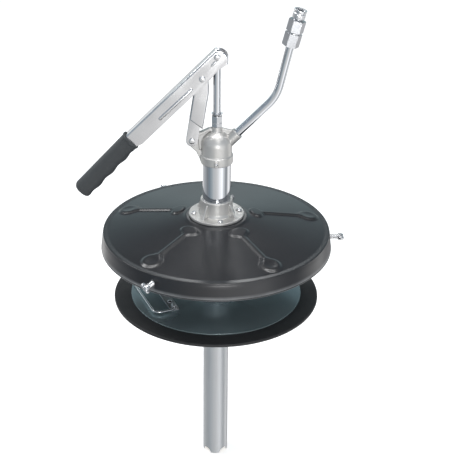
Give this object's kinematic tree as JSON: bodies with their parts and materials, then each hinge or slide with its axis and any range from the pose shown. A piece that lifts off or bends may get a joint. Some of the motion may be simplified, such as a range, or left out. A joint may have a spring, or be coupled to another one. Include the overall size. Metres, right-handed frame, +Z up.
{
  "type": "hand lever drum pump",
  "caption": "Hand lever pump on a round drum cover with a bent outlet tube, quick coupler and a follower plate that slides on the pump tube, for gear oil and grease.",
  "frame": {"origin": "on the pump axis, in the plane where the underside of the drum cover rests on the mouth of the drum", "axes": "+Z up along the pump tube, +X towards the outlet tube, the lever on the -X side; the lever swings in the XZ plane"},
  "size_m": [0.4618, 0.4004, 0.8607],
  "materials": {
    "painted_cover": "semi-gloss black stoving enamel",
    "chrome": "polished chrome plate",
    "cast_aluminium": "satin die cast, fine as-cast grain",
    "zinc_plate": "bright zinc plate",
    "galvanised_tube": "satin drawn tube, zinc coated",
    "steel": "plain bright steel",
    "brass": "machined brass",
    "black_rubber": "matt black nitrile rubber",
    "nitrile": "smooth black seal rubber",
    "grip_vinyl": "charcoal moulded vinyl"
  },
  "bodies": {
    "cover": {"drum_cover": "painted_cover", "cover_gasket": "black_rubber", "cover_flange": "cast_aluminium", "backing_ring": "steel", "flange_screw_1": "zinc_plate", "flange_screw_2": "zinc_plate", "flange_screw_3": "zinc_plate", "flange_screw_4": "zinc_plate", "clamp_screw": "zinc_plate", "rim_nut_1": "zinc_plate", "rim_nut_2": "zinc_plate", "rim_nut_3": "zinc_plate"},
    "pump": {"pump_tube": "galvanised_tube", "upper_sleeve": "chrome", "pump_head": "cast_aluminium", "head_set_screw": "zinc_plate", "tube_o_ring": "nitrile", "rod_packing": "nitrile", "gland_nut": "zinc_plate", "rod_wiper": "black_rubber", "outlet_tube": "chrome", "coupler_body": "zinc_plate", "foot_valve_body": "brass", "valve_stop_pin": "steel"},
    "rod": {"piston_rod": "chrome", "rod_extension": "steel", "piston": "brass", "piston_cup_upper": "nitrile", "piston_cup_lower": "nitrile"},
    "lever": {"lever": "zinc_plate", "lever_grip": "grip_vinyl", "rod_pin": "zinc_plate", "rod_pin_clip": "steel", "fulcrum_rivet_front": "zinc_plate", "fulcrum_rivet_rear": "zinc_plate"},
    "link": {"link": "zinc_plate", "fulcrum_bush": "steel", "lug_pin": "zinc_plate", "lug_pin_clip": "steel"},
    "follower": {"follower_plate": "zinc_plate", "follower_ring": "black_rubber", "follower_back_plate": "steel", "follower_hub": "steel", "tube_wiper": "black_rubber", "hub_screw_1": "zinc_plate", "hub_screw_2": "zinc_plate", "hub_screw_3": "zinc_plate", "hub_screw_4": "zinc_plate", "bail_strap": "zinc_plate", "strap_rivet_1": "zinc_plate", "strap_rivet_2": "zinc_plate"},
    "bail": {"bail_handle": "chrome"},
    "inlet_ball": {"inlet_ball": "steel"},
    "discharge_ball": {"discharge_ball": "steel"},
    "lock_sleeve": {"lock_sleeve": "zinc_plate"},
    "wing_screw_1": {"wing_screw_1": "zinc_plate"},
    "wing_screw_2": {"wing_screw_2": "zinc_plate"},
    "wing_screw_3": {"wing_screw_3": "zinc_plate"}
  },
  "joints": [
    {"name": "pump_height", "type": "slide", "parent": "cover", "child": "pump", "axis": [0, 0, 1], "range_m": [-0.045, 0.03]},
    {"name": "rod_stroke", "type": "slide", "parent": "pump", "child": "rod", "axis": [0, 0, -1], "range_m": [0, 0.0502]},
    {"name": "lever_swing", "type": "hinge", "parent": "rod", "child": "lever", "pos_m": [0, 0, 0.317], "axis": [0, 1, 0], "range_deg": [0, 75]},
    {"name": "link_swing", "type": "hinge", "parent": "pump", "child": "link", "pos_m": [-0.0417, 0, 0.168], "axis": [0, -1, 0], "range_deg": [0, 9.42]},
    {"name": "follower_slide", "type": "slide", "parent": "pump", "child": "follower", "axis": [0, 0, 1], "range_m": [-0.26, 0.03]},
    {"name": "bail_fold", "type": "hinge", "parent": "follower", "child": "bail", "pos_m": [-0.0915, -0.0205, -0.116], "axis": [-0.3827, 0.9239, 0], "range_deg": [0, 110]},
    {"name": "inlet_ball_lift", "type": "slide", "parent": "pump", "child": "inlet_ball", "axis": [0, 0, 1], "range_m": [0, 0.004]},
    {"name": "discharge_ball_lift", "type": "slide", "parent": "rod", "child": "discharge_ball", "axis": [0, 0, 1], "range_m": [0, 0.004]},
    {"name": "lock_sleeve_slide", "type": "slide", "parent": "pump", "child": "lock_sleeve", "axis": [-0.2504, 0, -0.9681], "range_m": [0, 0.003], "stiffness_N_per_m": 1500},
    {"name": "wing_screw_1_turn", "type": "hinge", "parent": "cover", "child": "wing_screw_1", "pos_m": [0.19999, 0.00175, -0.0135], "axis": [1, 0.0087, 0], "continuous": true},
    {"name": "wing_screw_2_turn", "type": "hinge", "parent": "cover", "child": "wing_screw_2", "pos_m": [-0.0908, 0.1782, -0.0135], "axis": [-0.454, 0.891, 0], "continuous": true},
    {"name": "wing_screw_3_turn", "type": "hinge", "parent": "cover", "child": "wing_screw_3", "pos_m": [-0.10301, -0.17143, -0.0135], "axis": [-0.515, -0.8572, 0], "continuous": true}
  ],
  "couplings": [
    {"joint": "rod_stroke", "follows": "lever_swing", "m_per_rad": 0.038325},
    {"joint": "link_swing", "follows": "lever_swing", "ratio": 0.12551}
  ]
}
